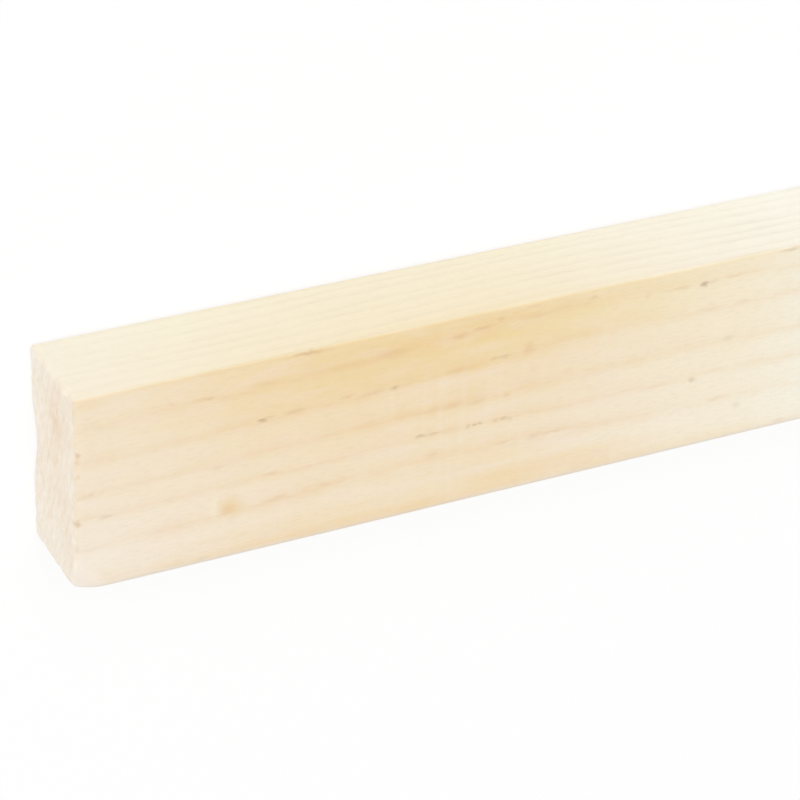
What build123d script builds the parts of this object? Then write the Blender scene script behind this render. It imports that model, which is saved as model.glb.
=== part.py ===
"""Rough sawn softwood batten: one solid, lying on its wide back face.

X runs along the length, Y across the width and Z up through the thickness.
The origin is at the middle of the underside. The end at -X is the knocked and torn one.
"""

import os

from build123d import *

# Stock size, in millimetres
length = 1800.0
width = 47.0
thickness = 25.0

# Long arrises: the saw left the +Y edge clean, and handling has worn the -Y edge round
clean_face_arris = 0.8
clean_back_arris = 1.8
worn_face_arris = 2.0
worn_back_arris = 0.8

# Cross-cut ends: the -X end is worn round where it meets the back face and the -Y edge
worn_end_arris = 1.4
crisp_end_arris = 1.0
plain_end_arris = 0.5

# Corner of the -X end that has been knocked off, at the upper worn arris: how far the
# facet reaches along the length, across the wide face and down the thickness
knock_along = 6.0
knock_across = 8.0
knock_down = 3.6

# Tear-out where the cross-cut saw left the back face, near the middle of the -X end
tear_width = 17.0
tear_depth = 1.7
tear_place = 1.0

# Half sizes that place the corners
end = length / 2
edge = width / 2

# The facet of the knocked corner, facing into the board
knock_plane = Plane(
    origin=(-end + knock_along, -edge, thickness),
    z_dir=(1 / knock_along, 1 / knock_across, -1 / knock_down),
)

# The scallop of the tear-out: part of a wide cylinder that slopes across the lower arris
tear_radius = (tear_width**2 / 4 + tear_depth**2) / (2 * tear_depth)
tear_plane = Plane(origin=(-end, tear_place, 0), x_dir=(0, 1, 0), z_dir=(1, 0, -1))


def round_corners(corner_radii):
    """Round each corner of the sketch being drawn by the radius given beside its place."""
    for corner, radius in corner_radii:
        fillet(vertices().sort_by_distance(corner)[0], radius)


with BuildPart() as board:
    # Section across the grain, with its four long arrises
    with BuildSketch(Plane.YZ):
        with Locations((0, thickness / 2)):
            Rectangle(width, thickness)
        round_corners([
            ((edge, thickness), clean_face_arris),
            ((edge, 0), clean_back_arris),
            ((-edge, thickness), worn_face_arris),
            ((-edge, 0), worn_back_arris),
        ])
    extrude(amount=end, both=True)

    # Plan of the wide face: the upright arrises of the two ends
    with BuildSketch(Plane.XY):
        Rectangle(length, width)
        round_corners([
            ((-end, -edge), worn_end_arris),
            ((-end, edge), crisp_end_arris),
            ((end, -edge), plain_end_arris),
            ((end, edge), plain_end_arris),
        ])
    extrude(amount=thickness, mode=Mode.INTERSECT)

    # Side view: the level arrises of the two ends
    with BuildSketch(Plane.XZ):
        with Locations((0, thickness / 2)):
            Rectangle(length, thickness)
        round_corners([
            ((-end, 0), worn_end_arris),
            ((-end, thickness), crisp_end_arris),
            ((end, 0), plain_end_arris),
            ((end, thickness), plain_end_arris),
        ])
    extrude(amount=edge, both=True, mode=Mode.INTERSECT)

    # Knocked corner
    split(bisect_by=knock_plane, keep=Keep.TOP)

    # Tear-out scallop
    with BuildSketch(tear_plane):
        with Locations((0, tear_depth - tear_radius)):
            Circle(tear_radius)
    extrude(amount=thickness, both=True, mode=Mode.SUBTRACT)

board.part.label = "board"
os.makedirs("parts", exist_ok=True)
export_step(board.part, "parts/board.step")
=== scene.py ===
"""Looks of the rough sawn board: its sawn and knocked mesh, its pale softwood, and a white studio.

Sizes are in millimetres and are told on the board itself: along it from the knocked end, across it
from the worn edge, and in depth below the wide face that looks up.
"""

import math
from types import SimpleNamespace

import bpy
import numpy as np
from mathutils import Matrix, Vector, noise


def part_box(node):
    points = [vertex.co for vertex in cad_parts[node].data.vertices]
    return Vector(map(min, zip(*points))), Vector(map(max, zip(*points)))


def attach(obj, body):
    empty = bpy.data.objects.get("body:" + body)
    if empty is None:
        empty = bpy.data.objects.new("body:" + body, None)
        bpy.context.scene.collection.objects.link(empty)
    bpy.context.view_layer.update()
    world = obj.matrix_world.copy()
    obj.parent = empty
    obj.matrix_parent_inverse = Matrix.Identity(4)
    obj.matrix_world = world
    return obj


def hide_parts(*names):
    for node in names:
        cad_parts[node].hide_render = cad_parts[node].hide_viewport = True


MM = 0.001

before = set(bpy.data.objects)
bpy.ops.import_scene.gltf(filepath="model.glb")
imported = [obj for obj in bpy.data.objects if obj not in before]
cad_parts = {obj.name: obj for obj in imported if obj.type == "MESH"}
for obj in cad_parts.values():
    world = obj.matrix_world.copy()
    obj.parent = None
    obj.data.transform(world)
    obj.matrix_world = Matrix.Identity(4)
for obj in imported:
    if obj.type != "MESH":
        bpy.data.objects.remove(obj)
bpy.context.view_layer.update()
board_low, board_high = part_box("board")
LENGTH, WIDTH, THICKNESS = [size / MM for size in board_high - board_low]

# Arrises along the board and round its ends, as in the CAD part
WORN_FACE_ARRIS = 2.0
CLEAN_FACE_ARRIS = 0.8
CLEAN_BACK_ARRIS = 1.8
WORN_BACK_ARRIS = 0.8
SHARPEST_ARRIS = 0.15
CRISP_END_ARRIS = 1.0
WORN_END_ARRIS = 1.4
PLAIN_END_ARRIS = 0.5

# Damage to the near end, as in the CAD part, and how soft its rims are
KNOCK = (6.0, 8.0, 3.6)
KNOCK_SOFTNESS = 0.5
TEAR_WIDTH = 17.0
TEAR_DEPTH = 1.7
TEAR_PLACE = 1.0
TEAR_SOFTNESS = 0.6
DAMAGE_REACH = 25.0

# Small bites out of the knocked end's upper arris: place across the board, and radius
CHIPS = ((33.8, 1.35), (18.0, 1.3), (24.3, 0.8))
CHIP_STAND_OFF = 0.4

# Mesh: steps round the section and along the board
ARC_STEPS = 3
WIDE_STEPS = 52
NARROW_STEPS = 26
END_ARRIS_STEPS = 4
FINE_STEP = 0.7
FINE_REACH = 188.0
LONGEST_STEP = 9.0
STEP_GROWTH = 1.07
FAR_END_STEP = 0.9

# Relief that the saws and the fibres leave. A depth is the greatest below the flat face, and lengths, here
# and below, are the wavelengths of a noise along, across and in depth
WAVE_DEPTH = 0.06
WAVE_LENGTHS = (90, 30, 30)
SAW_DEPTH = 0.02
SAW_PITCH = 2.6
SAW_SLANT = 0.07
SAW_PATCH = (90.0, 15.0)
SAW_PATCH_LENGTHS = (26, 40, 40)
SAW_PATCH_RISE = (-0.1, 0.5)
SAW_WANDER = 0.8
SAW_WANDER_LENGTHS = (11, 25, 25)
FUZZ_DEPTH = 0.05
FUZZ_LENGTHS = (4.0, 2.0, 2.0)
END_CLUMP_DEPTH = 0.3
END_CLUMP_LENGTHS = (40, 3.4, 1.5)
END_CLUMP_SHARPNESS = 1.5
FRAY_DEPTH = 0.6
FRAY_LENGTHS = (8, 2.2, 2.2)
END_KERF_DEPTH = 0.03
END_KERF_PITCH = 2.7
END_KERF_TURN = math.radians(14)
END_KERF_WANDER = 1.1
END_KERF_WANDER_LENGTHS = (40, 6, 4)
SEED_SHIFT = (17.3, 5.1, 9.7)
LEAST_SHARE = 1e-6

# Growth rings: their widths from the worn upper arris inwards, and the pith they curve round
RING_WIDTHS = (3.6, 3.95, 2.85, 2.45, 2.65, 2.95, 2.45, 2.5, 3.45, 2.95, 2.55, 3.65, 3.2, 3.0, 3.0, 3.0)
RING_TILT = math.radians(23.7)
PITH_DISTANCE = 260.0
FIRST_RING = -3.2

# Bends of the grain: place and reach along, height in the rings and its spread, and rise
GRAIN_BENDS = (
    (88.0, 65.0, 5.8, 2.5, 1.1),
    (146.0, 90.0, 13.0, 3.7, 1.5),
    (109.0, 41.0, 24.0, 7.5, 2.35),
    (123.0, 48.0, 34.0, 4.8, 2.3),
    (66.0, 19.0, 35.0, 5.6, 0.8),
)

# Colours as they look under plain white light
PALE_WOOD = (247, 237, 221)
HONEY_WOOD = (241, 213, 158)
YELLOW_WOOD = (244, 228, 168)
LINE_WOOD = (236, 200, 150)
BLUSH_WOOD = (247, 227, 212)
EDGE_PALE_WOOD = (248, 241, 226)
EDGE_HONEY_WOOD = (244, 226, 183)
EDGE_COOL_WOOD = (241, 239, 222)
EDGE_LINE_WOOD = (222, 206, 180)
FIBRE_WOOD = (206, 182, 148)
# Arris colours: partly a real darker tint, partly painted shade against the softbox's highlight on the
# arrises
ARRIS_TINT_AND_SHADE_WOOD = (222, 198, 146)
END_ARRIS_TINT_AND_SHADE_WOOD = (222, 208, 178)
# Painted bounce light: paler wood on the worn arris, which faces away from the softbox
ARRIS_BOUNCE_LIGHT_WOOD = (249, 241, 230)
KNOCKED_WOOD = (252, 241, 229)
BLEACHED_WOOD = (252, 246, 212)
EDGE_BLEACHED_WOOD = (250, 248, 238)
END_PALE_WOOD = (252, 246, 235)
END_RING_WOOD = (241, 221, 196)
END_COOL_WOOD = (245, 243, 236)
END_FLECK_WOOD = (202, 186, 158)
SPECK_BROWN = (134, 82, 30)
STAIN_BROWN = (210, 158, 94)
KNOT_TAN = (236, 204, 144)
KNOT_RED = (230, 164, 96)
KNOT_CREAM = (246, 239, 212)


def srgb(colour):
    """A colour of 0 to 255 per channel as the linear colour that a shader takes."""
    shares = [channel / 255 for channel in colour]
    linear = [s / 12.92 if s <= 0.04045 else ((s + 0.055) / 1.055) ** 2.4 for s in shares]
    return (*linear, 1.0)


def section_loop(edge_insets=(0.0, 0.0), face_insets=(0.0, 0.0)):
    """Points round the section as across and depth, from the worn upper arris, and their normals.

    The insets pull in the worn and the clean edge, and the wide face and the back.
    """
    low = np.array((edge_insets[0], face_insets[0]))
    high = np.array((WIDTH - edge_insets[1], THICKNESS - face_insets[1]))
    middle = (low + high) / 2
    corners = (
        (WORN_FACE_ARRIS, low, 180),
        (CLEAN_FACE_ARRIS, np.array((high[0], low[1])), 270),
        (CLEAN_BACK_ARRIS, high, 0),
        (WORN_BACK_ARRIS, np.array((low[0], high[1])), 90),
    )
    lost = max(edge_insets + face_insets)
    points = []
    normals = []

    def arc(corner, first, last):
        full_radius, place, start = corner
        radius = max(full_radius - lost, SHARPEST_ARRIS)
        centre = place + np.sign(middle - place) * radius
        for angle in np.radians(start + np.linspace(first, last, ARC_STEPS + 1)):
            normal = np.array((math.cos(angle), math.sin(angle)))
            points.append(centre + radius * normal)
            normals.append(normal)

    for side, flat_steps in enumerate((WIDE_STEPS, NARROW_STEPS) * 2):
        arc(corners[side], 45, 90)
        flat_start = points[-1]
        flat_normal = normals[-1]
        arc(corners[(side + 1) % 4], 0, 45)
        arc_start = len(points) - ARC_STEPS - 1
        shares = np.arange(1, flat_steps)[:, None] / flat_steps
        flat = flat_start + shares * (points[arc_start] - flat_start)
        points[arc_start:arc_start] = list(flat)
        normals[arc_start:arc_start] = [flat_normal] * len(flat)
        points.pop()
        normals.pop()
    return np.array(points), np.array(normals)


def growing_steps(first):
    """Steps that grow from the first one until they reach the longest."""
    steps = [first]
    while steps[-1] < LONGEST_STEP:
        steps.append(steps[-1] * STEP_GROWTH)
    return steps


def body_places():
    """Places along the board of the rings of points between the two end arrises."""
    fine = [FINE_STEP] * round(FINE_REACH / FINE_STEP)
    opening = fine + growing_steps(FINE_STEP)
    closing = growing_steps(FAR_END_STEP)[::-1]
    middle_length = LENGTH - WORN_END_ARRIS - PLAIN_END_ARRIS - sum(opening) - sum(closing)
    count = round(middle_length / LONGEST_STEP)
    steps = opening + [middle_length / count] * count + closing
    return WORN_END_ARRIS + np.cumsum(steps)[:-1]


def end_ring(turn, crisp_radius, worn_radius):
    """One ring of points round an end arris, at a turn from the flat end to the sides."""
    pull = 1 - math.sin(turn)
    crisp = crisp_radius * pull
    worn = worn_radius * pull
    loop, normals = section_loop((worn, crisp), (crisp, worn))
    crisp_share = np.maximum(normals[:, 0], 0) ** 2 + np.maximum(-normals[:, 1], 0) ** 2
    radii = worn_radius + (crisp_radius - worn_radius) * crisp_share
    return np.column_stack((radii * (1 - math.cos(turn)), loop))


def side_rings():
    """Rings of points along the board, the turn of each ring and the normals round the section."""
    loop, normals = section_loop()
    quarter = np.linspace(0, math.pi / 2, END_ARRIS_STEPS + 1)
    near = [end_ring(turn, CRISP_END_ARRIS, WORN_END_ARRIS) for turn in quarter]
    body = [np.column_stack((np.full(len(loop), place), loop)) for place in body_places()]
    far = [end_ring(turn, PLAIN_END_ARRIS, PLAIN_END_ARRIS) for turn in quarter[::-1]]
    for ring in far:
        ring[:, 0] = LENGTH - ring[:, 0]
    turns = np.concatenate((quarter, np.full(len(body), math.pi / 2), quarter[::-1]))
    return np.array(near + body + far), turns, normals


def coons_patch(loop, wide_count, narrow_count):
    """A grid of points over a cap, whose border is the given loop of the section."""
    ends = np.cumsum((0, wide_count, narrow_count, wide_count))
    closed = np.concatenate((loop, loop[:1]))
    top = closed[ends[0]:ends[1] + 1]
    right = closed[ends[1]:ends[2] + 1]
    bottom = closed[ends[2]:ends[3] + 1][::-1]
    left = closed[ends[3]:][::-1]
    u = np.linspace(0, 1, wide_count + 1)[:, None, None]
    v = np.linspace(0, 1, narrow_count + 1)[None, :, None]
    between_long = (1 - v) * top[:, None] + v * bottom[:, None]
    between_short = (1 - u) * left[None] + u * right[None]
    corners = (
        (1 - u) * (1 - v) * top[0] + u * (1 - v) * top[-1] + (1 - u) * v * bottom[0] + u * v * bottom[-1]
    )
    return between_long + between_short - corners


def grid_border(wide_count, narrow_count):
    """The grid places of a cap's border, in the order of the section's loop."""
    border = [(a, 0) for a in range(wide_count)]
    border += [(wide_count, b) for b in range(narrow_count)]
    border += [(a, narrow_count) for a in range(wide_count, 0, -1)]
    border += [(0, b) for b in range(narrow_count, 0, -1)]
    return border


def noise_at(points, scale, seed):
    """Smooth noise from -1 to 1 at each point, with one wavelength for each axis."""
    shift = Vector([share * seed for share in SEED_SHIFT])
    return np.array([noise.noise(Vector(p) + shift) for p in points / np.array(scale)])


def bell(value, centre, reach):
    return np.exp(-(((value - centre) / reach) ** 2))


def smooth_step(value, low, high):
    share = np.clip((value - low) / (high - low), 0, 1)
    return share * share * (3 - 2 * share)


def soft_positive(value, softness):
    """The positive part of a value, rounded off near zero."""
    return softness * np.logaddexp(0, value / softness)


def saw_relief(points):
    """How far the sawn faces lie below flat: slow waves, cross-grain saw marks and fuzz."""
    along, across, depth = points.T
    waves = WAVE_DEPTH * (0.5 + 0.5 * noise_at(points, WAVE_LENGTHS, seed=1))
    patches = smooth_step(noise_at(points, SAW_PATCH_LENGTHS, seed=2), *SAW_PATCH_RISE)
    patches = np.maximum(patches, bell(along, *SAW_PATCH))
    place = along + SAW_SLANT * (across + depth)
    place = place + SAW_WANDER * noise_at(points, SAW_WANDER_LENGTHS, seed=3)
    marks = SAW_DEPTH * patches * (0.5 + 0.5 * np.cos(2 * math.pi * place / SAW_PITCH))
    fuzz = FUZZ_DEPTH * (0.5 + 0.5 * noise_at(points, FUZZ_LENGTHS, seed=4))
    return waves + marks + fuzz


def end_relief(points):
    """How far a cross-cut end lies below flat: clumps of torn fibres and the marks of the saw."""
    across, depth = points.T[1:]
    clumps = (0.5 + 0.5 * noise_at(points, END_CLUMP_LENGTHS, seed=5)) ** END_CLUMP_SHARPNESS
    clumps = END_CLUMP_DEPTH * clumps
    place = across * math.sin(END_KERF_TURN) + depth * math.cos(END_KERF_TURN)
    place = place + END_KERF_WANDER * noise_at(points, END_KERF_WANDER_LENGTHS, seed=6)
    kerf = END_KERF_DEPTH * (0.5 + 0.5 * np.cos(2 * math.pi * place / END_KERF_PITCH))
    return clumps + kerf


def knock_corner(points):
    """Presses what lies outside the knocked facet back to it, with a rounded rim."""
    facet = 1 / np.array(KNOCK)
    distance = 1 / np.linalg.norm(facet)
    facet *= distance
    height = points @ facet - distance
    return points + np.outer(soft_positive(-height, KNOCK_SOFTNESS), facet)


def tear_end(points):
    """Scoops the torn hollow out of the lower arris of the knocked end."""
    radius = (TEAR_WIDTH**2 / 4 + TEAR_DEPTH**2) / (2 * TEAR_DEPTH)
    inwards = np.array((1, 0, -1)) / math.sqrt(2)
    axis = np.array((1, 0, 1)) / math.sqrt(2)
    centre = np.array((0, WIDTH / 2 + TEAR_PLACE, THICKNESS)) + (TEAR_DEPTH - radius) * inwards
    spoke = points - centre
    spoke -= np.outer(spoke @ axis, axis)
    reach = np.linalg.norm(spoke, axis=1)
    push = soft_positive(radius - reach, TEAR_SOFTNESS)
    return points + spoke * (push / reach)[:, None]


def chip_arris(points):
    """Bites the small chips out of the knocked end's upper arris."""
    for across, radius in CHIPS:
        centre = np.array((-CHIP_STAND_OFF, across, -CHIP_STAND_OFF))
        spoke = points - centre
        reach = np.linalg.norm(spoke, axis=1)
        push = np.where(reach < radius, radius - reach, 0)
        points = points + spoke * (push / reach)[:, None]
    return points


def weather(points, inward, side_share, end_share):
    """Cuts the relief of the saws and the damage into the flat board."""
    near_ends = end_share > 0
    fray = np.zeros(len(points))
    fray[near_ends] = FRAY_DEPTH * np.maximum(noise_at(points[near_ends], FRAY_LENGTHS, seed=7), 0)
    fray *= 2 * side_share * end_share
    cut = saw_relief(points) * side_share + fray
    moved = points + inward * cut[:, None]
    end_cut = end_relief(points[near_ends]) * end_share[near_ends] + fray[near_ends]
    moved[near_ends, 0] += np.where(points[near_ends, 0] < LENGTH / 2, end_cut, -end_cut)
    damaged = moved[:, 0] < DAMAGE_REACH
    moved[damaged] = chip_arris(tear_end(knock_corner(moved[damaged])))
    return moved


# Bake map: the stretches of board on its strips, the strips' heights, and the two ends' boxes
STRIP_STARTS = (0.0, 300.0, 1050.0)
STRIP_HEIGHTS = ((0.002, 0.48), (0.485, 0.675), (0.68, 0.87))
STRIP_WIDTHS = (0.003, 0.997)
END_BOXES = (((0.003, 0.23), (0.876, 0.997)), ((0.25, 0.48), (0.876, 0.997)))
LEAST_MAP_STEP = 0.6


def spread(values, low, high):
    """Values shifted and scaled so that they run from low to high."""
    values = values - values.min()
    return low + values / values.max() * (high - low)


def map_travel(points):
    """Distance walked along a row of points, with no step too short to bake."""
    steps = np.linalg.norm(np.diff(points, axis=0), axis=1)
    return np.concatenate(((0.0,), np.cumsum(np.maximum(steps, LEAST_MAP_STEP))))


def side_faces(rings, seam):
    """Quads between each two rings, facing out, and the places of their corners on the bake map."""
    count, around = rings.shape[:2]
    columns = (seam + np.arange(around + 1)) % around
    first_rows, first_columns = np.meshgrid(np.arange(count - 1), np.arange(around), indexing="ij")
    corners = ((0, 0), (1, 0), (1, 1), (0, 1))
    quads = [(first_rows + i) * around + columns[first_columns + j] for i, j in corners]

    travel = map_travel(rings[:, around // 2])
    girth = map_travel(rings[count // 2, columns])
    starts = np.searchsorted(rings[:, 0, 0], STRIP_STARTS)
    limits = [*starts, count - 1]
    rows = []
    for first, last, heights in zip(limits[:-1], limits[1:], STRIP_HEIGHTS):
        u = spread(travel[first:last + 1], *STRIP_WIDTHS)
        v = spread(girth, *heights)
        rows.append(np.stack([
            np.stack(np.broadcast_arrays(u[i:last - first + i, None], v[None, j:around + j]), axis=2)
            for i, j in corners
        ], axis=2))
    places = np.concatenate(rows)
    return np.stack(quads, axis=2).reshape(-1, 4), places.reshape(-1, 4, 2)


def cap_faces(grids, patches):
    """Quads over the two ends, facing out, and the places of their corners on the bake map."""
    faces = []
    places = []
    for grid, patch, box, order in zip(grids, patches, END_BOXES, ((0, 1, 2, 3), (3, 2, 1, 0))):
        spots = np.stack([spread(patch[..., axis], *box[axis]) for axis in (0, 1)], axis=2)
        for table, wanted in ((grid, faces), (spots, places)):
            corners = (table[:-1, :-1], table[1:, :-1], table[1:, 1:], table[:-1, 1:])
            wanted.append(np.stack([corners[c] for c in order], axis=2).reshape(-1, 4, *table.shape[2:]))
    return np.concatenate(faces), np.concatenate(places)


def board_mesh_data():
    """The board's points, its faces, and the place of each face corner on the bake map."""
    rings, turns, normals = side_rings()
    count, around = rings.shape[:2]
    wide_count = WIDE_STEPS + 2 * ARC_STEPS
    narrow_count = NARROW_STEPS + 2 * ARC_STEPS
    points = rings.reshape(-1, 3)
    side_total = len(points)

    grids = []
    patches = []
    for ring, place in ((0, 0.0), (count - 1, LENGTH)):
        patch = coons_patch(rings[ring, :, 1:], wide_count, narrow_count)
        grid = np.zeros(patch.shape[:2], int)
        for column, spot in enumerate(grid_border(wide_count, narrow_count)):
            grid[spot] = ring * around + column
        inner = patch[1:-1, 1:-1].reshape(-1, 2)
        grid[1:-1, 1:-1] = len(points) + np.arange(len(inner)).reshape(wide_count - 1, narrow_count - 1)
        points = np.concatenate((points, np.column_stack((np.full(len(inner), place), inner))))
        grids.append(grid)
        patches.append(patch)

    inner_total = len(points) - side_total
    side_share = np.concatenate((np.repeat(np.sin(turns), around), np.zeros(inner_total)))
    end_share = np.concatenate((np.repeat(np.cos(turns), around), np.ones(inner_total)))
    outward = np.column_stack((np.zeros(around), normals))
    inward = np.concatenate((np.tile(-outward, (count, 1)), np.zeros((inner_total, 3))))
    end_share[end_share < LEAST_SHARE] = 0.0

    sides, side_places = side_faces(rings, 2 * wide_count + narrow_count)
    caps, cap_places = cap_faces(grids, patches)
    faces = np.concatenate((sides, caps))
    places = np.concatenate((side_places, cap_places))
    return weather(points, inward, side_share, end_share), faces, places


def add_object(name, data):
    """A new object in the scene."""
    made = bpy.data.objects.new(name, data)
    bpy.context.scene.collection.objects.link(made)
    return made


def build_board():
    """The board as one mesh in the frame."""
    points, faces, places = board_mesh_data()
    low = Vector((board_low.x, board_low.y, board_high.z)) / MM
    framed = np.column_stack((low.x + points[:, 0], low.y + points[:, 1], low.z - points[:, 2])) * MM
    mesh = bpy.data.meshes.new("board_sawn")
    mesh.from_pydata(framed.tolist(), [], faces.tolist())
    mesh.uv_layers.new(name="OFBake").data.foreach_set("uv", places.ravel())
    mesh.validate()
    mesh.shade_smooth()
    return add_object("board_sawn", mesh)


class Graph:
    """Short calls that build a node tree. An input takes a socket to link or a plain value to set."""

    def __init__(self, tree):
        self.tree = tree

    def node(self, kind, inputs=(), **settings):
        made = self.tree.nodes.new(kind)
        for name, value in settings.items():
            setattr(made, name, value)
        for place, value in dict(inputs).items():
            if isinstance(value, bpy.types.NodeSocket):
                self.tree.links.new(value, made.inputs[place])
            else:
                made.inputs[place].default_value = value
        return made

    def math(self, operation, *values, clamp=False):
        made = self.node("ShaderNodeMath", enumerate(values), operation=operation, use_clamp=clamp)
        return made.outputs[0]

    def total(self, *values):
        result = values[0]
        for value in values[1:]:
            result = self.math("ADD", result, value)
        return result

    def product(self, *values):
        result = values[0]
        for value in values[1:]:
            result = self.math("MULTIPLY", result, value)
        return result

    def vector(self, operation, *values):
        return self.node("ShaderNodeVectorMath", enumerate(values), operation=operation)

    def combine(self, x, y, z):
        return self.node("ShaderNodeCombineXYZ", enumerate((x, y, z))).outputs[0]

    def noise(self, place, wavelengths, detail=2.0, roughness=0.5, output=0):
        """Noise from 0 to 1 with a wavelength for each axis of the place."""
        scaled = self.vector("DIVIDE", place, wavelengths).outputs[0]
        inputs = {"Vector": scaled, "Scale": 1.0, "Detail": detail, "Roughness": roughness}
        return self.node("ShaderNodeTexNoise", inputs).outputs[output]

    def wander(self, place, wavelengths, size, detail=2.0):
        """Noise about zero that swings by half the size to each side."""
        return self.product(self.math("SUBTRACT", self.noise(place, wavelengths, detail), 0.5), size)

    def step(self, value, low, high, start=0.0, end=1.0):
        """A smooth rise from start to end as the value goes from low to high."""
        inputs = {"Value": value, "From Min": low, "From Max": high, "To Min": start, "To Max": end}
        return self.node("ShaderNodeMapRange", inputs, interpolation_type="SMOOTHSTEP").outputs[0]

    def bell(self, value, centre, reach):
        away = self.math("DIVIDE", self.math("SUBTRACT", value, centre), reach)
        return self.math("EXPONENT", self.product(away, away, -1.0))

    def ramp(self, value, stops):
        """A grey ramp through (place, level) stops."""
        made = self.node("ShaderNodeValToRGB", {"Fac": value})
        elements = made.color_ramp.elements
        while len(elements) < len(stops):
            elements.new(0.5)
        for element, (place, level) in zip(elements, stops):
            element.position = place
            element.color = (level, level, level, 1.0)
        return made.outputs[0]

    def mix(self, factor, first, second):
        made = self.node("ShaderNodeMix", {0: factor, 6: first, 7: second}, data_type="RGBA")
        return made.outputs[2]


def fresh_graph(owner):
    """The emptied node tree of a material or a world."""
    owner.use_nodes = True
    owner.node_tree.nodes.clear()
    return Graph(owner.node_tree)


# Resin specks on the wide face: along, across, half length, half width, strength
SPECKS = (
    (41.3, 32.6, 0.9, 0.5, 0.34),
    (43.0, 33.0, 1.4, 0.45, 0.11),
    (48.5, 33.1, 2.2, 0.55, 0.11),
    (71.2, 33.4, 0.95, 0.6, 0.23),
    (145.3, 42.3, 1.1, 0.6, 0.43),
    (147.3, 42.5, 1.8, 0.45, 0.11),
    (144.5, 18.3, 0.9, 0.65, 0.23),
    (78.0, 19.8, 1.3, 0.45, 0.26),
    (81.0, 19.8, 1.5, 0.45, 0.19),
    (89.2, 19.7, 0.6, 0.5, 0.16),
    (90.7, 19.7, 0.6, 0.5, 0.29),
    (91.8, 19.8, 0.6, 0.5, 0.25),
    (95.7, 19.6, 0.7, 0.5, 0.12),
    (97.7, 19.6, 1.0, 0.45, 0.18),
    (99.2, 19.2, 0.8, 0.45, 0.15),
    (51.0, 46.4, 2.6, 0.35, 0.25),
    (167.0, 46.4, 2.2, 0.35, 0.22),
    (0.9, 33.9, 0.7, 0.7, 0.17),
    (0.7, 18.0, 0.7, 0.6, 0.29),
    (3.7, 23.8, 0.7, 0.6, 0.13),
    (2.2, 23.4, 2.2, 0.4, 0.07),
    (6.8, 18.0, 1.5, 0.5, 0.13),
    (29.6, 40.5, 0.8, 0.5, 0.11),
    (97.0, 35.1, 1.5, 0.5, 0.17),
    (95.7, 44.5, 0.7, 0.5, 0.11),
    (90.8, 25.2, 2.4, 0.7, 0.10),
    (105.2, 13.2, 1.3, 0.9, 0.09),
    (110.6, 13.2, 0.8, 0.5, 0.11),
    (156.7, 8.9, 1.2, 1.0, 0.09),
    (153.0, 27.0, 1.6, 0.6, 0.10),
    (27.5, 1.9, 1.5, 0.6, 0.10),
    (168.5, 2.0, 1.6, 0.6, 0.1),
    (3.0, 10.7, 3.0, 0.45, 0.05),
    (131.3, 42.5, 0.7, 0.7, 0.05),
    (118.0, 45.0, 0.9, 0.6, 0.13),
    (33.0, 11.7, 2.0, 0.4, 0.05),
)

# Soft reddish stains on the same face
STAINS = (
    (52.5, 46.2, 4.5, 0.51, 0.23),
    (60.4, 33.8, 1.9, 0.51, 0.23),
    (66.5, 33.4, 3.0, 0.59, 0.15),
    (27.8, 40.8, 3.2, 0.42, 0.12),
    (21.4, 41.1, 1.1, 0.42, 0.15),
    (42.3, 41.2, 3.0, 0.51, 0.13),
    (43.4, 19.1, 1.8, 0.42, 0.25),
    (31.2, 23.6, 1.2, 0.68, 0.15),
    (44.4, 12.6, 2.8, 0.59, 0.21),
    (55.7, 13.3, 1.5, 0.68, 0.19),
    (70.5, 41.8, 3.8, 1.02, 0.23),
    (61.0, 41.2, 6.0, 0.77, 0.13),
    (86.2, 42.7, 1.8, 0.68, 0.25),
    (91.4, 43.3, 2.6, 0.51, 0.27),
    (104.0, 43.6, 3.4, 0.77, 0.19),
    (103.0, 45.9, 2.4, 0.51, 0.13),
    (94.6, 35.1, 1.2, 0.42, 0.25),
    (102.9, 35.9, 1.4, 1.44, 0.25),
    (86.0, 34.2, 2.6, 0.68, 0.13),
    (84.0, 19.8, 2.4, 0.77, 0.13),
    (84.8, 25.6, 3.2, 0.68, 0.17),
    (80.5, 25.8, 2.5, 0.68, 0.13),
    (98.3, 25.3, 0.9, 0.51, 0.17),
    (81.2, 14.6, 1.6, 1.02, 0.15),
    (109.3, 13.3, 5.0, 0.42, 0.11),
    (98.0, 13.5, 2.2, 0.42, 0.13),
    (112.5, 27.9, 1.2, 0.68, 0.11),
    (139.3, 42.5, 2.6, 0.47, 0.23),
    (152.5, 42.8, 2.6, 0.42, 0.13),
    (135.5, 18.8, 3.6, 0.59, 0.13),
    (150.0, 19.5, 2.0, 0.59, 0.11),
    (147.0, 35.7, 3.4, 0.59, 0.13),
    (155.5, 35.6, 2.0, 0.59, 0.13),
    (151.5, 12.0, 2.6, 0.51, 0.17),
    (0.4, 32.4, 0.9, 0.68, 0.32),
    (0.9, 33.8, 0.8, 0.68, 0.25),
    (0.4, 17.3, 0.9, 0.59, 0.48),
    (0.8, 29.0, 0.7, 0.85, 0.19),
    (167.0, 46.3, 3.2, 0.42, 0.08),
)

# Long patches of richer honey wood on the same face
HONEY_PATCHES = (
    (108.0, 5.4, 24.0, 2.4, 0.4),
    (56.0, 5.6, 36.0, 2.2, 0.14),
    (92.0, 10.0, 16.0, 2.0, 0.14),
    (3.0, 45.4, 6.0, 1.6, 0.24),
    (74.0, 3.2, 26.0, 1.7, 0.22),
    (88.0, 42.2, 26.0, 2.5, 0.17),
    (128.0, 43.0, 14.0, 2.5, 0.12),
    (94.0, 34.0, 20.0, 1.45, 0.22),
    (78.0, 25.4, 22.0, 1.6, 0.14),
    (86.0, 14.2, 16.0, 1.8, 0.14),
    (130.0, 26.6, 12.0, 1.4, 0.12),
    (150.0, 45.5, 20.0, 1.5, 0.09),
    (130.0, 37.0, 12.0, 5.0, 0.08),
    (145.0, 2.8, 24.0, 1.6, 0.1),
)

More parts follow.
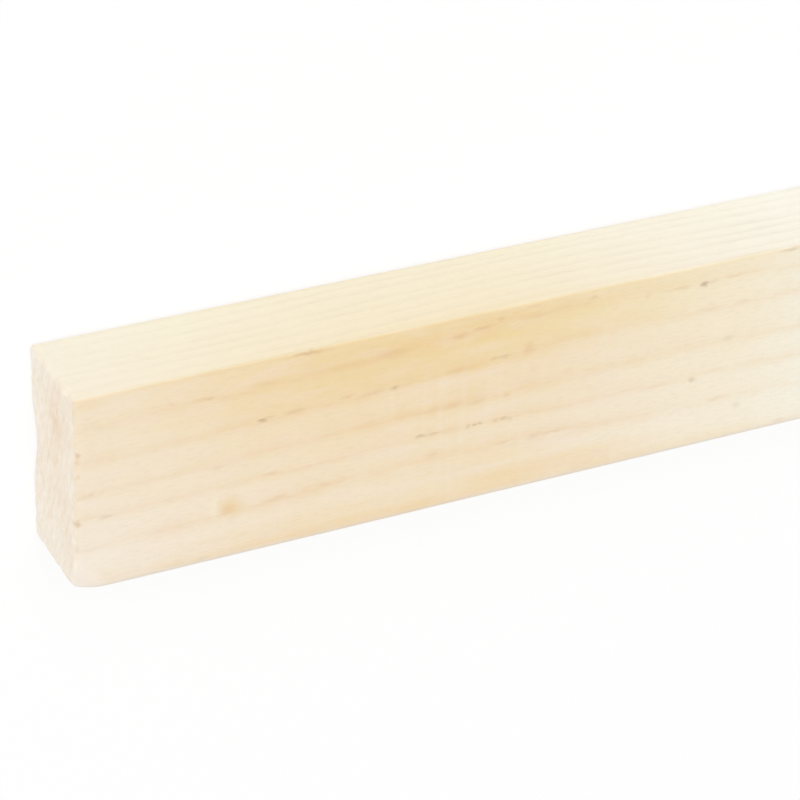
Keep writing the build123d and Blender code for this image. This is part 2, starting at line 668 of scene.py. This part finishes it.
# Broad patches of paler wood on the same face
PALE_PATCHES = (
    (22.0, 34.0, 16.0, 1.8, 0.15),
    (90.0, 38.0, 10.0, 1.8, 0.12),
    (6.0, 9.5, 5.0, 4.0, 0.3),
)

# Pale stripes that the saw's teeth scuffed across the grain, narrow along and long across
SCUFFS = (
    (78.4, 27.0, 0.6, 12.0, 0.09),
    (82.5, 25.0, 1.0, 15.0, 0.14),
    (87.8, 24.0, 0.8, 16.0, 0.11),
    (93.6, 27.0, 0.7, 12.0, 0.1),
    (96.6, 31.0, 0.6, 8.0, 0.09),
    (99.8, 22.0, 0.7, 9.0, 0.08),
    (121.2, 33.0, 0.6, 10.0, 0.07),
    (125.4, 31.0, 0.6, 9.0, 0.07),
    (141.0, 22.0, 0.7, 10.0, 0.06),
)

# How deep the spots of these lists go, how soft they are, and how ragged knots, stains and specks are
SPOT_DEPTH = 1.5
SPOT_SOFTNESS = (0.0, 1.6)
SPOT_RAGGEDNESS = (2.0, 1.1, 0.0)
SPOT_RAG_LENGTHS = (2.4, 0.9, 0.9)

# Warmer and paler areas of the ends: across, depth, reach across, reach in depth, and rise in warmth
END_TONES = (
    (36.0, 9.0, 6.0, 4.5, 0.4),
    (43.0, 9.0, 3.0, 3.0, -0.1),
    (43.0, 3.0, 3.0, 3.0, 0.08),
    (15.0, 3.0, 8.0, 3.5, -0.14),
    (19.0, 15.0, 6.0, 3.5, 0.1),
)

# Pin knots: along, across, and radius. The first is in sight, the others are further down the board
PIN_KNOTS = (
    (33.7, 13.5, 2.1),
    (402.0, 31.0, 2.8),
    (815.0, 9.5, 2.2),
    (1130.0, 38.0, 3.0),
    (1496.0, 20.5, 2.5),
)

# What a pin knot is made of: a spot as above, but in radii from the knot's middle, and its colour
KNOT_PARTS = (
    ((-1.4, 0.2, 0.5, 1.2, 0.5), KNOT_CREAM),
    ((0.2, 0.0, 1.3, 1.25, 0.5), KNOT_TAN),
    ((-0.05, -0.4, 0.95, 0.55, 0.2), KNOT_RED),
)


def knot_spots(shape):
    """The same part of each pin knot as a spot on the board."""
    *sizes, strength = shape
    spots = []
    for along, across, radius in PIN_KNOTS:
        right, up, half_length, half_width = [size * radius for size in sizes]
        spots.append((along + right, across + up, half_length, half_width, strength))
    return spots


def spot_mask(graph, place, spots):
    """One mask over a list of soft spots on the wide face."""
    mask = 0.0
    for along, across, half_length, half_width, strength in spots:
        away = graph.vector("SUBTRACT", place, (along, across, 0.0)).outputs[0]
        away = graph.vector("DIVIDE", away, (half_length, half_width, SPOT_DEPTH)).outputs[0]
        reach = graph.vector("LENGTH", away).outputs["Value"]
        mask = graph.math("MAXIMUM", mask, graph.step(reach, *SPOT_SOFTNESS, strength, 0.0))
    return mask


# From here on a rise or a fall is a step's low and high, and its start and end where they aren't 0 and 1

# Where the photograph's view ends and the length that it cuts off begins
UNSEEN_RISE = (180.0, 260.0)

# Borders between the faces, of which the ends' is ragged, and between the worn and the clean half
END_BORDER_FALL = (0.0, 0.9, 1.0, 0.0)
END_BORDER_LENGTHS = (9, 1.8, 1.8)
END_BORDER_WANDER = 2.2
EDGE_BORDER_FALL = (-0.25, 0.25, 1.0, 0.0)
CLEAN_SIDE_RISE = (10.0, 37.0)


def board_place(graph):
    """Where a point lies on the board, and how near it is to the ends, the edges and the wide faces."""
    here = graph.node("ShaderNodeTexCoord").outputs["Object"]
    corner = (board_low.x, board_low.y, board_high.z)
    from_corner = graph.vector("SUBTRACT", here, corner).outputs[0]
    place = graph.vector("MULTIPLY", from_corner, (1 / MM, 1 / MM, -1 / MM)).outputs[0]
    along, across, depth = graph.node("ShaderNodeSeparateXYZ", {0: place}).outputs

    end_gap = graph.math("MINIMUM", along, graph.math("SUBTRACT", LENGTH, along))
    ragged_gap = graph.total(end_gap, graph.wander(place, END_BORDER_LENGTHS, END_BORDER_WANDER))
    clean_gap = graph.math("SUBTRACT", WIDTH, across)
    edge_gap = graph.math("MINIMUM", across, clean_gap)
    face_gap = graph.math("MINIMUM", depth, graph.math("SUBTRACT", THICKNESS, depth))
    slanted = graph.math("ADD", along, graph.product(across, SAW_SLANT))
    return SimpleNamespace(
        place=place, along=along, across=across, depth=depth, end_gap=end_gap, clean_gap=clean_gap,
        far=graph.step(along, *UNSEEN_RISE),
        on_end=graph.step(ragged_gap, *END_BORDER_FALL),
        on_edge=graph.step(graph.math("SUBTRACT", edge_gap, face_gap), *EDGE_BORDER_FALL),
        clean_side=graph.step(across, *CLEAN_SIDE_RISE),
        saw_place=graph.combine(slanted, across, depth),
    )


# How the rings show: their drift out of sight, their jags, the dark of a rim across its ring, and how each
# ring's own line along its rim comes and goes
RING_DRIFT = 2.4
RING_DRIFT_LENGTHS = (190, 70, 70)
RING_JAG = 0.34
RING_JAG_LENGTHS = (11, 2.6, 2.6)
RIM_STOPS = (
    (0.0, 1.0), (0.1, 0.72), (0.24, 0.34), (0.45, 0.12), (0.66, 0.0), (0.8, 0.16), (0.91, 0.6), (1.0, 1.0)
)
RINGS_APART = 41.0
SLOW_LINE_LENGTHS = (46, 7, 7)
SLOW_LINE_RISE = (0.3, 0.7, 0.4, 1.1)
QUICK_LINE_LENGTHS = (9, 7, 7)
QUICK_LINE_RISE = (0.3, 0.7, 0.45, 1.35)


def ring_height(graph, at):
    """How deep a point lies in the rings, counted from the worn upper arris towards the pith."""
    lean = Vector((0.0, math.sin(RING_TILT), math.cos(RING_TILT)))
    pith = Vector((0.0, WIDTH / 2, THICKNESS / 2)) + lean * PITH_DISTANCE
    flat_place = graph.combine(0.0, at.across, at.depth)
    from_pith = graph.vector("DISTANCE", flat_place, tuple(pith)).outputs["Value"]
    height = graph.math("SUBTRACT", pith.dot(lean), from_pith)
    bends = [
        graph.product(graph.bell(at.along, spot, reach), graph.bell(height, centre, spread_out), rise)
        for spot, reach, centre, spread_out, rise in GRAIN_BENDS
    ]
    drift = graph.product(graph.wander(at.place, RING_DRIFT_LENGTHS, RING_DRIFT), at.far)
    jag = graph.wander(at.place, RING_JAG_LENGTHS, RING_JAG)
    return graph.math("SUBTRACT", height, graph.total(*bends, drift, jag))


def growth_rings(graph, at):
    """The rings at a point: its height in them, its share of its own ring, and the ring's rim and line."""
    height = ring_height(graph, at)
    edges = np.cumsum((0.0, *RING_WIDTHS))
    span = float(edges[-1])
    count = len(RING_WIDTHS)
    height_share = graph.math("DIVIDE", graph.math("SUBTRACT", height, FIRST_RING), span)
    curve = graph.node("ShaderNodeFloatCurve", {"Value": height_share})
    points = curve.mapping.curves[0].points
    for number, edge in enumerate(edges[1:-1], start=1):
        points.new(edge / span, number / count)
    for point in points:
        point.handle_type = "VECTOR"
    curve.mapping.update()

    rings = graph.math("MULTIPLY", curve.outputs[0], float(count))
    share = graph.math("FRACT", rings)
    rim = graph.ramp(share, RIM_STOPS)
    row = graph.combine(at.along, graph.product(graph.math("FLOOR", rings), RINGS_APART), 0.0)
    slow = graph.step(graph.noise(row, SLOW_LINE_LENGTHS), *SLOW_LINE_RISE)
    quick = graph.step(graph.noise(row, QUICK_LINE_LENGTHS), *QUICK_LINE_RISE)
    line = graph.product(rim, slow, quick)
    return SimpleNamespace(height=height, share=share, row=row, rim=rim, line=line)


# Honey colour: where it glows along the board, its base and its band by height in the rings, a strip of
# painted shade beside the worn arris, and its mottling
HONEY_RISE = (-12.0, 66.0)
HONEY_FALL = (86.0, 160.0, 1.0, 0.0)
FAR_HONEY_LENGTHS = (210, 60, 60)
FAR_HONEY_RISE = (0.3, 0.72)
HONEY_BASE_RISE = (2.0, 14.0, 0.04, 0.28)
HONEY_BAND_RISE = (11.6, 13.2, 0.34, 0.58)
ARRIS_SHADE_STRIP_FALL = (0.4, 1.6, 0.16, 0.0)
ARRIS_SHADE_STRIP_RISE = (8.0, 40.0)
MOTTLE = 0.2
MOTTLE_LENGTHS = (15, 4, 4)
HONEY_FIBRE = 0.2
HONEY_FIBRE_LENGTHS = (18, 0.5, 0.5)


def honey_share(graph, at, height):
    """How honey-coloured the wood is: richest in its middle rings, in slow patches, with painted shade by
    the worn arris.
    """
    near_glow = graph.product(graph.step(at.along, *HONEY_RISE), graph.step(at.along, *HONEY_FALL))
    far_patches = graph.step(graph.noise(at.place, FAR_HONEY_LENGTHS), *FAR_HONEY_RISE)
    glow = graph.math("MAXIMUM", near_glow, graph.product(at.far, far_patches))
    base = graph.step(height, *HONEY_BASE_RISE)
    band = graph.product(glow, graph.step(height, *HONEY_BAND_RISE))
    # Painted shade: a darker honey strip beside the worn arris, where the rounded arris turns away from the
    # light
    arris_shade_strip = graph.product(graph.step(height, *ARRIS_SHADE_STRIP_FALL), graph.step(at.along, *ARRIS_SHADE_STRIP_RISE))
    patches = spot_mask(graph, at.place, HONEY_PATCHES)
    mottle = graph.wander(at.place, MOTTLE_LENGTHS, MOTTLE)
    fibre = graph.wander(at.place, HONEY_FIBRE_LENGTHS, HONEY_FIBRE)
    return graph.total(base, band, arris_shade_strip, patches, mottle, fibre)


# Bleached wood: where it comes and goes, and the paler stretch in it
BLEACH_RISE = (100.0, 170.0)
BLEACH_FALL = (200.0, 420.0, 1.0, 0.0)
FAR_BLEACH_LENGTHS = (260, 90, 90)
FAR_BLEACH_RISE = (0.5, 0.75, 0.0, 0.8)
SUNNED_RISE = (152.0, 180.0, 0.0, 0.5)


def bleaching(graph, at):
    """How bleached the wood is, and how far the sun has paled the stretch where the picture ends."""
    stretch_end = graph.step(at.along, *BLEACH_FALL)
    near = graph.product(graph.step(at.along, *BLEACH_RISE), stretch_end)
    far_patches = graph.step(graph.noise(at.place, FAR_BLEACH_LENGTHS), *FAR_BLEACH_RISE)
    bleach = graph.math("MAXIMUM", near, graph.product(at.far, far_patches))
    sunned = graph.product(graph.step(at.along, *SUNNED_RISE), stretch_end)
    return bleach, sunned


# Wide faces: rosy blush, a yellow stretch, how far bleaching tells, and the strength of the ring lines
BLUSH_LENGTHS = (13, 3.4, 3.4)
BLUSH_RISE = (0.42, 0.72, 0.0, 0.32)
BLUSH_IN_BLEACH_FALL = (0.0, 1.0, 1.0, 0.3)
YELLOW_STRETCH = (122.0, 24.0)
YELLOW_RISE = (11.6, 13.2, 0.0, 0.2)
WIDE_BLEACH = 0.25
WIDE_SUNNED_FALL = (2.0, 20.0, 1.0, 0.3)
RICH_LINE_STRETCH = (62.0, 18.0)
RICH_LINE_GAIN = 0.35
WIDE_LINE_FALL = (0.2, 1.0, 0.34, 0.2)


def wide_wood(graph, at, rings, honey, bleach, sunned):
    """The clean wood of the wide faces."""
    colour = graph.mix(honey, srgb(PALE_WOOD), srgb(HONEY_WOOD))
    blush = graph.step(graph.noise(at.place, BLUSH_LENGTHS, detail=3.0), *BLUSH_RISE)
    blush = graph.product(blush, graph.step(bleach, *BLUSH_IN_BLEACH_FALL))
    colour = graph.mix(blush, colour, srgb(BLUSH_WOOD))
    yellow = graph.product(graph.bell(at.along, *YELLOW_STRETCH), graph.step(rings.height, *YELLOW_RISE))
    colour = graph.mix(yellow, colour, srgb(YELLOW_WOOD))
    colour = graph.mix(graph.product(bleach, WIDE_BLEACH), colour, srgb(BLEACHED_WOOD))
    face_sunned = graph.product(sunned, graph.step(at.depth, *WIDE_SUNNED_FALL))
    colour = graph.mix(face_sunned, colour, srgb(EDGE_BLEACHED_WOOD))
    rich_lines = graph.total(1.0, graph.product(graph.bell(at.along, *RICH_LINE_STRETCH), RICH_LINE_GAIN))
    line = graph.product(rings.line, rich_lines, graph.step(bleach, *WIDE_LINE_FALL))
    return graph.mix(line, colour, srgb(LINE_WOOD))


# Narrow edges: how much of the honey shows, the worn edge's own honey, cool wood towards the back, and the
# strength of the ring lines
EDGE_HONEY_FALL = (1.0, 6.0, 0.78, 0.62)
WORN_HONEY_FALL = (0.0, 1.0, 0.4, 0.0)
WORN_HONEY_RISE = (5.0, 60.0)
COOL_RISE = (5.0, 24.0, 0.0, 0.4)
EDGE_BLEACH = 0.3
WORN_EDGE_LINE = 0.2
CLEAN_EDGE_LINE_RISE = (5.0, 60.0, 0.115, 0.21)


def edge_wood(graph, at, rings, honey, bleach, sunned):
    """The clean wood of the narrow edges."""
    worn_honey = graph.step(at.clean_side, *WORN_HONEY_FALL)
    worn_honey = graph.product(worn_honey, graph.step(at.along, *WORN_HONEY_RISE))
    edge_honey = graph.total(graph.product(honey, graph.step(at.depth, *EDGE_HONEY_FALL)), worn_honey)
    colour = graph.mix(edge_honey, srgb(EDGE_PALE_WOOD), srgb(EDGE_HONEY_WOOD))
    cool = graph.product(graph.step(at.depth, *COOL_RISE), at.clean_side)
    colour = graph.mix(cool, colour, srgb(EDGE_COOL_WOOD))
    colour = graph.mix(graph.product(bleach, EDGE_BLEACH), colour, srgb(EDGE_BLEACHED_WOOD))
    colour = graph.mix(sunned, colour, srgb(EDGE_BLEACHED_WOOD))
    clean_edge_line = graph.step(at.along, *CLEAN_EDGE_LINE_RISE)
    line = graph.product(rings.line, graph.step(at.clean_side, 0.0, 1.0, WORN_EDGE_LINE, clean_edge_line))
    return graph.mix(line, colour, srgb(EDGE_LINE_WOOD))


# Fine darker fibres, fewer on the narrow edges
FIBRE_LENGTHS = (2.4, 0.55, 0.55)
FIBRE_RISE = (0.42, 0.78, 0.0, 0.13)
FIBRE_ON_EDGE_FALL = (0.0, 1.0, 1.0, 0.65)


def with_fibres(graph, at, colour):
    """The colour with fine darker fibres."""
    fibres = graph.step(graph.noise(at.place, FIBRE_LENGTHS, detail=3.0, roughness=0.6), *FIBRE_RISE)
    fibres = graph.product(fibres, graph.step(at.on_edge, *FIBRE_ON_EDGE_FALL))
    return graph.mix(fibres, colour, srgb(FIBRE_WOOD))


# Dashes of resin on the rims of the rings that the photograph doesn't show
DASH_RIM_FALL = (0.0, 0.1, 1.0, 0.0)
DASH_LENGTHS = (5, 3, 3)
DASH_RISE = (0.71, 0.78)
DASH_STRENGTH = 0.3


def with_knots_and_resin(graph, at, rings, colour):
    """The colour with pin knots, reddish stains and resin specks, all with ragged rims."""
    ragged = graph.noise(at.place, SPOT_RAG_LENGTHS, output=1)
    ragged = graph.vector("SUBTRACT", ragged, (0.5, 0.5, 0.5)).outputs[0]
    ragged = graph.vector("MULTIPLY", ragged, SPOT_RAGGEDNESS).outputs[0]
    spot_place = graph.vector("ADD", at.place, ragged).outputs[0]
    for shape, knot_colour in KNOT_PARTS:
        colour = graph.mix(spot_mask(graph, spot_place, knot_spots(shape)), colour, srgb(knot_colour))
    colour = graph.mix(spot_mask(graph, spot_place, STAINS), colour, srgb(STAIN_BROWN))
    near_rim = graph.step(rings.share, *DASH_RIM_FALL)
    dashes = graph.step(graph.noise(rings.row, DASH_LENGTHS, detail=1.0), *DASH_RISE)
    far_specks = graph.product(at.far, near_rim, dashes, DASH_STRENGTH)
    specks = graph.math("MAXIMUM", spot_mask(graph, spot_place, SPECKS), far_specks)
    return graph.mix(specks, colour, srgb(SPECK_BROWN))


# Scuffs of the saw: the patches that show them most, the stripes, and how few of them cross the honey band
SCUFFED_LENGTHS = (30, 24, 24)
SCUFFED_RISE = (0.52, 0.66)
SCUFF_LENGTHS = (1.8, 26, 26)
SCUFF_RISE = (0.52, 0.72)
SCUFF_FALL = (10.0, 14.0, 1.0, 0.25)
LEAST_SCUFF = 0.4
SCUFF_STRENGTH = 0.08


def scuffed_patches(graph, at):
    """Where the saw's teeth have marked the faces most."""
    patches = graph.step(graph.noise(at.place, SCUFFED_LENGTHS), *SCUFFED_RISE)
    return graph.math("MAXIMUM", graph.bell(at.along, *SAW_PATCH), patches)


def with_scuffs(graph, at, height, scuffed, colour):
    """The colour with pale cross-grain scuffs of the saw and a few broad pale patches."""
    scuff = graph.step(graph.noise(at.saw_place, SCUFF_LENGTHS), *SCUFF_RISE)
    scuff = graph.product(scuff, graph.step(height, *SCUFF_FALL))
    scuff = graph.product(scuff, graph.total(LEAST_SCUFF, scuffed), SCUFF_STRENGTH)
    scuffs = graph.math("MAXIMUM", scuff, spot_mask(graph, at.place, PALE_PATCHES + SCUFFS))
    return graph.mix(scuffs, colour, srgb(EDGE_PALE_WOOD))


# End grain: its warmth and what varies it, its blush, its cool side and its dark flecks
END_WARMTH = 0.23
END_RIM = 0.2
STREAK = 0.36
STREAK_LENGTHS = (30, 6.5, 1.5)
SPECKLE = 0.28
SPECKLE_LENGTHS = (30, 2.4, 1.3)
END_PATCH_LENGTHS = (30, 12, 7)
END_PATCH_RISE = (0.4, 0.7, 0.0, 0.3)
END_BLUSH_LENGTHS = (30, 9, 3)
END_BLUSH_RISE = (0.45, 0.7, 0.0, 0.28)
END_COOL_RISE = (15.0, 24.0, 0.0, 0.5)
FLECK_LENGTHS = (30, 2.8, 0.9)
FLECK_RISE = (0.44, 0.74, 0.0, 0.18)
FLECK_DEPTH_RISE = (0.6, 3.0, 0.5, 1.0)


def end_wood(graph, at, rings):
    """The end grain: rings seen across, and torn fibres that follow them."""
    tangent = (0.0, math.cos(RING_TILT), -math.sin(RING_TILT))
    round_ring = graph.vector("DOT_PRODUCT", at.place, tangent).outputs["Value"]
    torn = graph.combine(at.along, round_ring, rings.height)
    streaks = graph.wander(torn, STREAK_LENGTHS, STREAK)
    speckle = graph.wander(at.place, SPECKLE_LENGTHS, SPECKLE, detail=3.0)
    patches = graph.step(graph.noise(at.place, END_PATCH_LENGTHS), *END_PATCH_RISE)
    tones = [
        graph.product(graph.bell(at.across, middle, reach), graph.bell(at.depth, low, fall), rise)
        for middle, low, reach, fall, rise in END_TONES
    ]
    warmth = graph.total(graph.product(rings.rim, END_RIM), streaks, speckle, patches, *tones, END_WARMTH)
    warmth = graph.math("MAXIMUM", warmth, 0.0, clamp=True)
    colour = graph.mix(warmth, srgb(END_PALE_WOOD), srgb(END_RING_WOOD))
    blush = graph.step(graph.noise(torn, END_BLUSH_LENGTHS), *END_BLUSH_RISE)
    colour = graph.mix(blush, colour, srgb(BLUSH_WOOD))
    colour = graph.mix(graph.step(at.depth, *END_COOL_RISE), colour, srgb(END_COOL_WOOD))
    flecks = graph.step(graph.noise(torn, FLECK_LENGTHS), *FLECK_RISE)
    flecks = graph.product(flecks, graph.step(at.depth, *FLECK_DEPTH_RISE))
    return graph.mix(flecks, colour, srgb(END_FLECK_WOOD))


# Painted bounce light as paler wood on the worn arris, and fresh paler wood on the knocked facet
WORN_ARRIS_ACROSS_FALL = (0.5, 2.6, 1.0, 0.0)
WORN_ARRIS_DEPTH_FALL = (2.0, 4.0, 1.0, 0.0)
WORN_ARRIS_STRENGTH = 0.55
FACET_FALL = (1.0, 1.6, 0.55, 0.0)


def with_arris_light_and_knock(graph, at, colour):
    """The colour with painted bounce light on the worn arris and paler fresh wood where the corner was
    knocked.
    """
    # Painted light: the worn arris is made paler, as if lit by light bounced from the floor
    worn_arris_bounce = graph.product(
        graph.step(at.across, *WORN_ARRIS_ACROSS_FALL),
        graph.step(at.depth, *WORN_ARRIS_DEPTH_FALL),
        WORN_ARRIS_STRENGTH,
    )
    colour = graph.mix(worn_arris_bounce, colour, srgb(ARRIS_BOUNCE_LIGHT_WOOD))
    facet = graph.vector("DOT_PRODUCT", at.place, tuple(1 / side for side in KNOCK)).outputs["Value"]
    return graph.mix(graph.step(facet, *FACET_FALL), colour, srgb(KNOCKED_WOOD))


# Darker arrises of the wide face, at the clean edge and at the ends: partly a real darker tint, partly
# painted shade that damps the softbox's highlight on them
DARK_ARRIS_LENGTHS = (16, 7, 7)
DARK_ARRIS_RISE = (0.3, 0.7, 0.2, 0.4)
DARK_ARRIS_FALL = (70.0, 110.0, 1.0, 0.75)
CLEAN_ARRIS_ACROSS_FALL = (0.3, 1.3, 1.0, 0.0)
CLEAN_ARRIS_DEPTH_FALL = (0.4, 1.2, 1.0, 0.0)
CLEAN_ARRIS_RISE = (0.0, 25.0, 0.3, 1.0)
END_ARRIS_FALL = (0.3, 1.2, 1.0, 0.0)
END_ARRIS_FACE_FALL = (0.3, 1.0, 1.0, 0.0)
END_ARRIS_EDGE_FALL = (0.3, 1.0, 0.5, 0.0)
END_ARRIS_RISE = (24.0, 40.0, 1.0, 1.5)


def with_arris_tint_and_shade(graph, at, colour):
    """The colour with darker arrises: a real tint along them, and painted shade that damps their highlight.
    """
    dark_arris_patches = graph.step(graph.noise(at.place, DARK_ARRIS_LENGTHS), *DARK_ARRIS_RISE)
    dark_arris_patches = graph.product(dark_arris_patches, graph.step(at.along, *DARK_ARRIS_FALL))
    clean_arris = graph.product(
        graph.step(at.clean_gap, *CLEAN_ARRIS_ACROSS_FALL),
        graph.step(at.depth, *CLEAN_ARRIS_DEPTH_FALL),
        dark_arris_patches,
        graph.step(at.along, *CLEAN_ARRIS_RISE),
    )
    near_face = graph.step(at.depth, *END_ARRIS_FACE_FALL)
    near_edge = graph.step(at.clean_gap, *END_ARRIS_EDGE_FALL)
    end_arris = graph.product(
        graph.step(at.end_gap, *END_ARRIS_FALL),
        graph.math("MAXIMUM", near_face, near_edge),
        dark_arris_patches,
        graph.step(at.across, *END_ARRIS_RISE),
    )
    colour = graph.mix(clean_arris, colour, srgb(ARRIS_TINT_AND_SHADE_WOOD))
    return graph.mix(end_arris, colour, srgb(END_ARRIS_TINT_AND_SHADE_WOOD))


# Relief too fine for the mesh, in the bump's own units, and the shine that it leaves
HAIR_LENGTHS = (5.0, 0.28, 0.28)
SAW_MARK_LENGTHS = (0.8, 14, 14)
LEAST_SAW_MARK = 0.3
RIM_RELIEF = 0.4
END_RELIEF_LENGTHS = (30, 0.9, 0.6)
END_RELIEF = 1.5
BUMP_STRENGTH = 0.35
BUMP_DISTANCE = 0.12
ROUGHNESS_RISE = (0.2, 0.8, 0.7, 0.86)
SPECULAR_LEVEL = 0.25


def fine_relief(graph, at, rim, scuffed):
    """The bumped normal and the roughness, from hairs and saw marks, and torn fibres on the ends."""
    hairs = graph.noise(at.place, HAIR_LENGTHS, detail=3.0)
    saw = graph.noise(at.saw_place, SAW_MARK_LENGTHS)
    saw = graph.product(saw, graph.total(LEAST_SAW_MARK, scuffed))
    side_height = graph.total(hairs, saw, graph.product(rim, RIM_RELIEF))
    end_height = graph.noise(at.place, END_RELIEF_LENGTHS, detail=3.0, roughness=0.6)
    end_height = graph.product(end_height, END_RELIEF)
    relief = graph.node("ShaderNodeMix", {0: at.on_end, 2: side_height, 3: end_height}).outputs[0]
    bump = {"Strength": BUMP_STRENGTH, "Distance": BUMP_DISTANCE * MM, "Height": relief}
    return graph.node("ShaderNodeBump", bump).outputs[0], graph.step(hairs, *ROUGHNESS_RISE)


def softwood():
    """Rough sawn softwood: growth rings through the solid, fibres, saw marks, resin and end grain."""
    material = bpy.data.materials.new("rough_sawn_softwood")
    graph = fresh_graph(material)
    at = board_place(graph)
    rings = growth_rings(graph, at)
    honey = honey_share(graph, at, rings.height)
    bleach, sunned = bleaching(graph, at)
    scuffed = scuffed_patches(graph, at)

    wide_colour = wide_wood(graph, at, rings, honey, bleach, sunned)
    edge_colour = edge_wood(graph, at, rings, honey, bleach, sunned)
    colour = graph.mix(at.on_edge, wide_colour, edge_colour)
    colour = with_fibres(graph, at, colour)
    colour = with_knots_and_resin(graph, at, rings, colour)
    colour = with_scuffs(graph, at, rings.height, scuffed, colour)
    colour = graph.mix(at.on_end, colour, end_wood(graph, at, rings))
    colour = with_arris_light_and_knock(graph, at, colour)
    colour = with_arris_tint_and_shade(graph, at, colour)

    normal, roughness = fine_relief(graph, at, rings.rim, scuffed)
    shader = graph.node("ShaderNodeBsdfPrincipled", {
        "Base Color": colour,
        "Roughness": roughness,
        "Normal": normal,
        "Specular IOR Level": SPECULAR_LEVEL,
    })
    graph.node("ShaderNodeOutputMaterial", {"Surface": shader.outputs[0]})
    return material


# Camera, as the photograph has it round a board on its worn edge: lens, clip range in metres, place and aim
PICTURE_SIZE = 800
FOCAL_PIXELS = 3082.0
SENSOR_WIDTH = 36.0
CLIP_RANGE = (0.01, 50.0)
CAMERA_PLACE = (-177.52, -489.11, 366.28)
CAMERA_TURN = math.radians(27.087)
CAMERA_PITCH = math.radians(31.462)
CAMERA_ROLL = math.radians(2.296)


def photo_camera():
    """The photograph's camera, carried over with the board as it is laid flat on its back face."""
    data = bpy.data.cameras.new("photo_camera")
    data.sensor_width = SENSOR_WIDTH
    data.lens = FOCAL_PIXELS / PICTURE_SIZE * SENSOR_WIDTH
    data.clip_start, data.clip_end = CLIP_RANGE
    camera = add_object("photo_camera", data)
    corner = Matrix.Translation((board_low.x, board_low.y, board_high.z))
    lay_flat = corner @ Matrix.Rotation(-math.pi / 2, 4, "X")
    aim = (
        Matrix.Rotation(-CAMERA_TURN, 4, "Z")
        @ Matrix.Rotation(math.pi / 2 - CAMERA_PITCH, 4, "X")
        @ Matrix.Rotation(CAMERA_ROLL, 4, "Z")
    )
    camera.matrix_world = lay_flat @ Matrix.Translation(Vector(CAMERA_PLACE) * MM) @ aim
    bpy.context.scene.camera = camera


# Studio, in metres: the floor, how strong its shadow is, how far that reaches and fades, the sky's strength
# and the softbox
WHITE = (1.0, 1.0, 1.0, 1.0)
FLOOR_SIZE = 14.0
FLOOR_DROP = 0.0002
SHADOW_SHARE = 0.22
SHADOW_REACH = (1.6, 0.8)
SHADOW_FADE = (0.5, 1.0)
SKY_STRENGTH = 0.57
SOFTBOX_SIZE = (9.24, 6.6)
SOFTBOX_PLACE = (-3.06, 3.70, 6.50)
SOFTBOX_AIM = (1.88, -1.68, -2.96)
SOFTBOX_POWER = 406.0


def seen_directly(graph):
    """1 for what the camera sees straight or through gloss or glass, and 0 for light on the object."""
    path = graph.node("ShaderNodeLightPath")
    rays = [path.outputs[name] for name in ("Is Camera Ray", "Is Glossy Ray", "Is Transmission Ray")]
    return graph.math("MAXIMUM", graph.math("MAXIMUM", rays[0], rays[1]), rays[2])


def studio_floor():
    """A plain white floor, which keeps a faint shadow round the board."""
    half = FLOOR_SIZE / 2
    corners = [(x, y, -FLOOR_DROP) for x, y in ((-half, -half), (half, -half), (half, half), (-half, half))]
    mesh = bpy.data.meshes.new("studio_floor")
    mesh.from_pydata(corners, [], [(0, 1, 2, 3)])
    floor = add_object("studio_floor", mesh)
    material = bpy.data.materials.new("studio_white")
    graph = fresh_graph(material)
    matt = graph.node("ShaderNodeBsdfDiffuse", {"Color": WHITE})
    glow = graph.node("ShaderNodeEmission", {"Color": WHITE, "Strength": 1.0})
    here = graph.node("ShaderNodeTexCoord").outputs["Object"]
    away = graph.vector("DIVIDE", here, (*SHADOW_REACH, 1.0)).outputs[0]
    reach = graph.vector("LENGTH", away).outputs["Value"]
    glow_share = graph.step(reach, *SHADOW_FADE, 1 - SHADOW_SHARE, 1.0)
    share = graph.product(seen_directly(graph), glow_share)
    blend = graph.node("ShaderNodeMixShader", {0: share, 1: matt.outputs[0], 2: glow.outputs[0]})
    graph.node("ShaderNodeOutputMaterial", {"Surface": blend.outputs[0]})
    mesh.materials.append(material)


def studio_light():
    """An even white sky, white to the camera, and one large softbox off the knocked end's clean corner."""
    world = bpy.data.worlds.new("studio_sky")
    bpy.context.scene.world = world
    graph = fresh_graph(world)
    strength = graph.step(seen_directly(graph), 0.0, 1.0, SKY_STRENGTH, 1.0)
    sky = graph.node("ShaderNodeBackground", {"Color": WHITE, "Strength": strength})
    graph.node("ShaderNodeOutputWorld", {"Surface": sky.outputs[0]})

    lamp = bpy.data.lights.new("softbox", "AREA")
    lamp.shape = "RECTANGLE"
    lamp.size, lamp.size_y = SOFTBOX_SIZE
    lamp.energy = SOFTBOX_POWER
    softbox = add_object("softbox", lamp)
    softbox.location = SOFTBOX_PLACE
    softbox.rotation_euler = Vector(SOFTBOX_AIM).to_track_quat("-Z", "Y").to_euler()


def main():
    board = build_board()
    board.data.materials.append(softwood())
    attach(board, "root")
    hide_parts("board")
    studio_floor()
    studio_light()
    photo_camera()
    bpy.context.scene.view_settings.view_transform = "Standard"


main()
